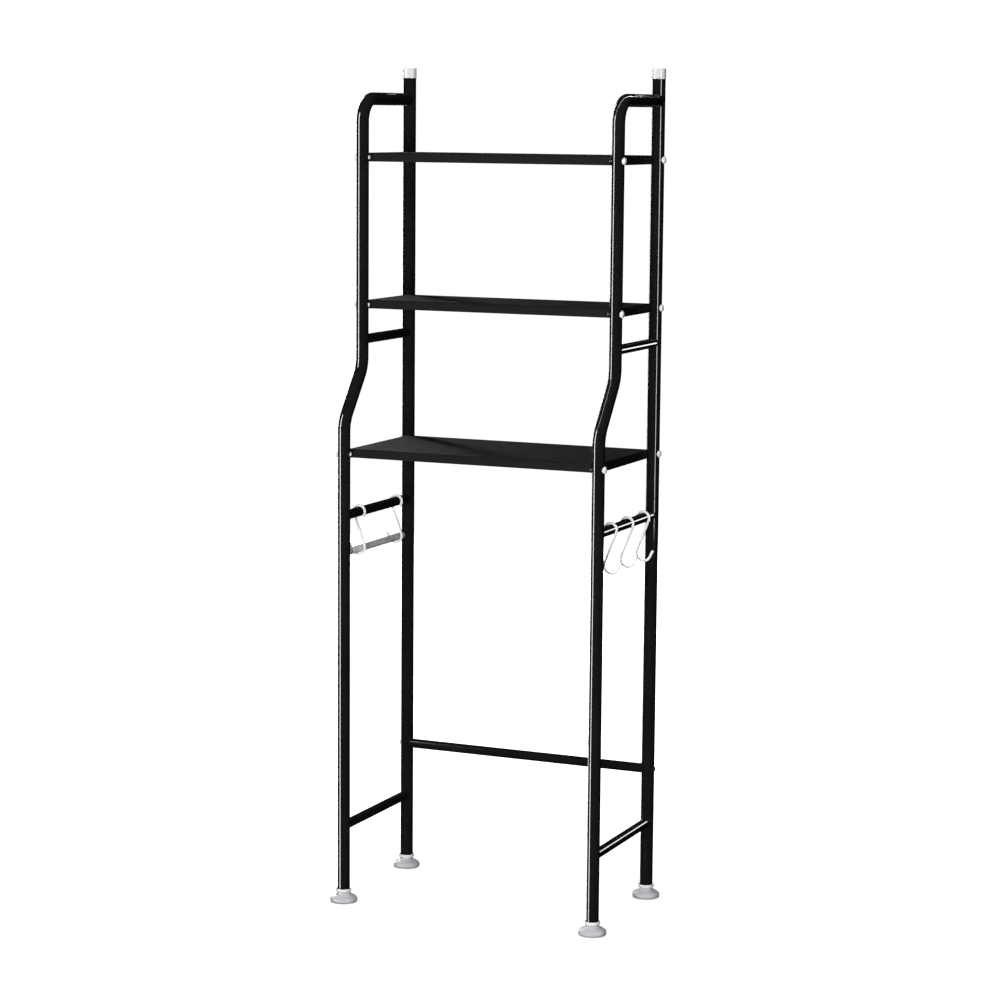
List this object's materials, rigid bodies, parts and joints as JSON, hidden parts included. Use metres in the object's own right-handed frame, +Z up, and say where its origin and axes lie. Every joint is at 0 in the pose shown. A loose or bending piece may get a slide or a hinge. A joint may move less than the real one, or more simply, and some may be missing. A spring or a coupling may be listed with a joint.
{
  "type": "over the toilet storage rack",
  "caption": "Free-standing black tube rack that stands over a toilet, with tray shelves, side hanging bars, swinging hooks, a paper-roll holder and levelling feet.",
  "frame": {"origin": "on the floor, at the middle of the footprint", "axes": "+X to the rack's right, +Y to its back (the wall), +Z up"},
  "size_m": [0.579, 0.339, 1.62],
  "materials": {
    "tube_black": "gloss black powder coat",
    "shelf_black": "fine matte black powder coat",
    "screw_black": "matte black coated screw",
    "fitting_white": "white moulded plastic, satin gloss",
    "foot_white": "greyish white soft plastic",
    "wire_white": "white plastic-dipped wire",
    "rod_white": "milky white plastic",
    "zinc": "zinc-plated steel"
  },
  "bodies": {
    "rack": {"front_tube_left": "tube_black", "front_tube_right": "tube_black", "rear_post_left": "tube_black", "rear_post_right": "tube_black", "upper_side_rail_left": "tube_black", "upper_side_rail_right": "tube_black", "hanging_bar_left": "tube_black", "hanging_bar_right": "tube_black", "lower_side_rail_left": "tube_black", "lower_side_rail_right": "tube_black", "rear_crossbar": "tube_black", "shelf_top": "shelf_black", "shelf_middle": "shelf_black", "shelf_bottom": "shelf_black", "shelf_bolt_top_front_left": "fitting_white", "shelf_nut_top_front_left": "fitting_white", "shelf_bolt_top_front_right": "fitting_white", "shelf_nut_top_front_right": "fitting_white", "shelf_bolt_top_rear_left": "fitting_white", "shelf_nut_top_rear_left": "fitting_white", "shelf_bolt_top_rear_right": "fitting_white", "shelf_nut_top_rear_right": "fitting_white", "shelf_bolt_middle_front_left": "fitting_white", "shelf_nut_middle_front_left": "fitting_white", "shelf_bolt_middle_front_right": "fitting_white", "shelf_nut_middle_front_right": "fitting_white", "shelf_bolt_middle_rear_left": "fitting_white", "shelf_nut_middle_rear_left": "fitting_white", "shelf_bolt_middle_rear_right": "fitting_white", "shelf_nut_middle_rear_right": "fitting_white", "shelf_bolt_bottom_front_left": "fitting_white", "shelf_nut_bottom_front_left": "fitting_white", "shelf_bolt_bottom_front_right": "fitting_white", "shelf_nut_bottom_front_right": "fitting_white", "shelf_bolt_bottom_rear_left": "fitting_white", "shelf_nut_bottom_rear_left": "fitting_white", "shelf_bolt_bottom_rear_right": "fitting_white", "shelf_nut_bottom_rear_right": "fitting_white", "crossbar_screw_left": "screw_black", "crossbar_screw_right": "screw_black", "post_cap_left": "fitting_white", "post_cap_right": "fitting_white", "foot_plug_front_left": "fitting_white", "foot_plug_front_right": "fitting_white", "foot_plug_rear_left": "fitting_white", "foot_plug_rear_right": "fitting_white"},
    "foot_front_left": {"foot_cup_front_left": "foot_white"},
    "stud_front_left": {"foot_stud_front_left": "zinc"},
    "foot_front_right": {"foot_cup_front_right": "foot_white"},
    "stud_front_right": {"foot_stud_front_right": "zinc"},
    "foot_rear_left": {"foot_cup_rear_left": "foot_white"},
    "stud_rear_left": {"foot_stud_rear_left": "zinc"},
    "foot_rear_right": {"foot_cup_rear_right": "foot_white"},
    "stud_rear_right": {"foot_stud_rear_right": "zinc"},
    "hook_front": {"s_hook_front": "wire_white"},
    "hook_middle": {"s_hook_middle": "wire_white"},
    "hook_rear": {"s_hook_rear": "wire_white"},
    "roll_hanger": {"roll_hook_front": "wire_white", "roll_hook_rear": "wire_white"},
    "roll_rod": {"roll_rod": "rod_white"}
  },
  "joints": [
    {"name": "foot_drop_front_left", "type": "slide", "parent": "rack", "child": "foot_front_left", "axis": [0, 0, -1], "range_m": [0, 0.005]},
    {"name": "stud_turn_front_left", "type": "hinge", "parent": "foot_front_left", "child": "stud_front_left", "pos_m": [-0.2625, -0.1425, 0.03], "axis": [0, 0, 1], "range_deg": [0, 1441]},
    {"name": "foot_drop_front_right", "type": "slide", "parent": "rack", "child": "foot_front_right", "axis": [0, 0, -1], "range_m": [0, 0.005]},
    {"name": "stud_turn_front_right", "type": "hinge", "parent": "foot_front_right", "child": "stud_front_right", "pos_m": [0.2625, -0.1425, 0.03], "axis": [0, 0, 1], "range_deg": [0, 1441]},
    {"name": "foot_drop_rear_left", "type": "slide", "parent": "rack", "child": "foot_rear_left", "axis": [0, 0, -1], "range_m": [0, 0.005]},
    {"name": "stud_turn_rear_left", "type": "hinge", "parent": "foot_rear_left", "child": "stud_rear_left", "pos_m": [-0.2625, 0.1425, 0.03], "axis": [0, 0, 1], "range_deg": [0, 1441]},
    {"name": "foot_drop_rear_right", "type": "slide", "parent": "rack", "child": "foot_rear_right", "axis": [0, 0, -1], "range_m": [0, 0.005]},
    {"name": "stud_turn_rear_right", "type": "hinge", "parent": "foot_rear_right", "child": "stud_rear_right", "pos_m": [0.2625, 0.1425, 0.03], "axis": [0, 0, 1], "range_deg": [0, 1441]},
    {"name": "hook_swing_front", "type": "hinge", "parent": "rack", "child": "hook_front", "pos_m": [0.2625, -0.076, 0.763], "axis": [0, -1, 0], "range_deg": [-55, 55]},
    {"name": "hook_swing_middle", "type": "hinge", "parent": "rack", "child": "hook_middle", "pos_m": [0.2625, 0.01, 0.763], "axis": [0, -1, 0], "range_deg": [-55, 55]},
    {"name": "hook_swing_rear", "type": "hinge", "parent": "rack", "child": "hook_rear", "pos_m": [0.2625, 0.095, 0.763], "axis": [0, -1, 0], "range_deg": [-55, 55]},
    {"name": "roll_hanger_swing", "type": "hinge", "parent": "rack", "child": "roll_hanger", "pos_m": [-0.2625, 0.0055, 0.763], "axis": [0, 1, 0], "range_deg": [-55, 55]},
    {"name": "roll_rod_spin", "type": "hinge", "parent": "roll_hanger", "child": "roll_rod", "pos_m": [-0.2645, 0.0055, 0.6895], "axis": [0, 1, 0], "continuous": true}
  ],
  "couplings": [
    {"joint": "stud_turn_front_left", "follows": "foot_drop_front_left", "rad_per_m": 5026.5},
    {"joint": "stud_turn_front_right", "follows": "foot_drop_front_right", "rad_per_m": 5026.5},
    {"joint": "stud_turn_rear_left", "follows": "foot_drop_rear_left", "rad_per_m": 5026.5},
    {"joint": "stud_turn_rear_right", "follows": "foot_drop_rear_right", "rad_per_m": 5026.5}
  ]
}
